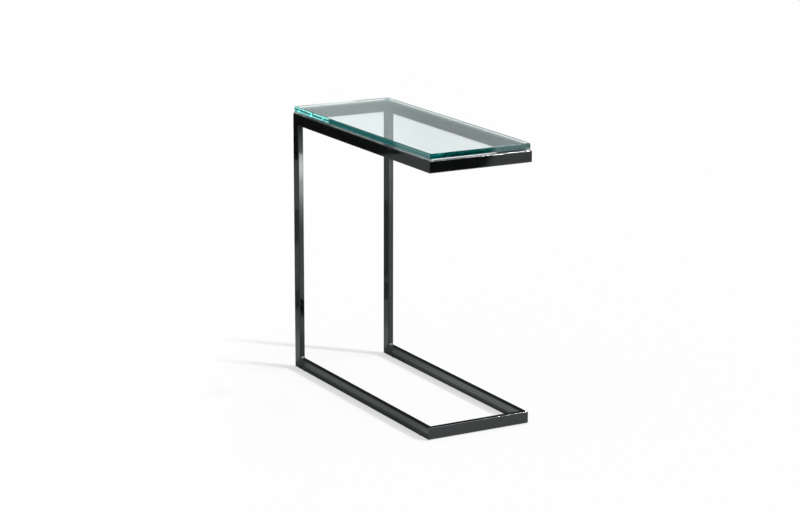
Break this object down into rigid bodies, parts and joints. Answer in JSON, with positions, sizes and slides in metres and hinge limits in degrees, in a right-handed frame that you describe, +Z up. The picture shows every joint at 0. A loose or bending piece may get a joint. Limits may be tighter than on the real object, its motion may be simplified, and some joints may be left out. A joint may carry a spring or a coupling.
{
  "type": "side table",
  "caption": "C-shaped side table with a narrow clear glass top on clear bumpers, over a gloss black frame of welded rectangular tube with uprights at one end only.",
  "frame": {"origin": "on the floor, at the middle of the table's outline seen from above", "axes": "+X from the uprights towards the open front, along the glass; +Y across the table to its left; +Z up"},
  "size_m": [0.62, 0.245, 0.611],
  "materials": {
    "frame_black": "gloss black on welded steel tube, joints ground flush",
    "glass_clear": "clear float glass with polished edges that look blue-green",
    "bumper_clear": "clear soft polyurethane, self-adhesive",
    "glide_nylon": "black moulded nylon"
  },
  "bodies": {
    "frame": {"upright_right": "frame_black", "upright_left": "frame_black", "base_rail_right": "frame_black", "base_rail_left": "frame_black", "base_rail_front": "frame_black", "weld_base_right": "frame_black", "weld_base_left": "frame_black", "top_rail_right": "frame_black", "top_rail_left": "frame_black", "top_rail_front": "frame_black", "top_rail_rear": "frame_black", "bumper_front_right": "bumper_clear", "bumper_front_left": "bumper_clear", "bumper_rear_right": "bumper_clear", "bumper_rear_left": "bumper_clear", "glide_front_right": "glide_nylon", "glide_front_left": "glide_nylon", "glide_rear_right": "glide_nylon", "glide_rear_left": "glide_nylon"},
    "glass": {"glass_top": "glass_clear"}
  },
  "joints": [
    {"name": "glass_lift", "type": "slide", "parent": "frame", "child": "glass", "axis": [0, 0, 1], "range_m": [0, 0.1]}
  ]
}
